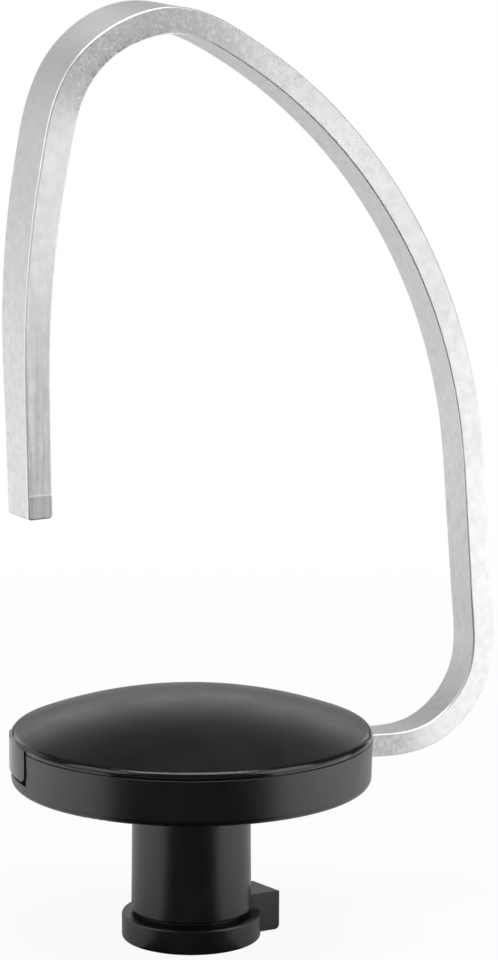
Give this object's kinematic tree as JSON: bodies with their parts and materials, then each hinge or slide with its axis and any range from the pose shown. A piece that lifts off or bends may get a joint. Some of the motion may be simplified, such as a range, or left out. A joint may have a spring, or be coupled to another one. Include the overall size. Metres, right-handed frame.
{
  "type": "dough hook",
  "caption": "Dough hook of a stand mixer: a bent flat metal bar fixed in a round plastic dough guard with a domed cap, on a drive stem with a collar and lug.",
  "frame": {"origin": "centre of the stem's free end face", "axes": "+Z along the stem's axis towards the hook, +X the way the bar leaves the guard, the hook's bend in the XZ plane"},
  "size_m": [0.0901, 0.0604, 0.1563],
  "materials": {
    "hook_metal": "tumbled, satin to matt, with faint mottling",
    "guard_plastic": "smooth satin black moulding",
    "cap_plastic": "finely grained satin black moulding"
  },
  "bodies": {
    "root": {"hook_bar": "hook_metal", "guard_housing": "guard_plastic", "guard_cap": "cap_plastic"}
  },
  "joints": []
}
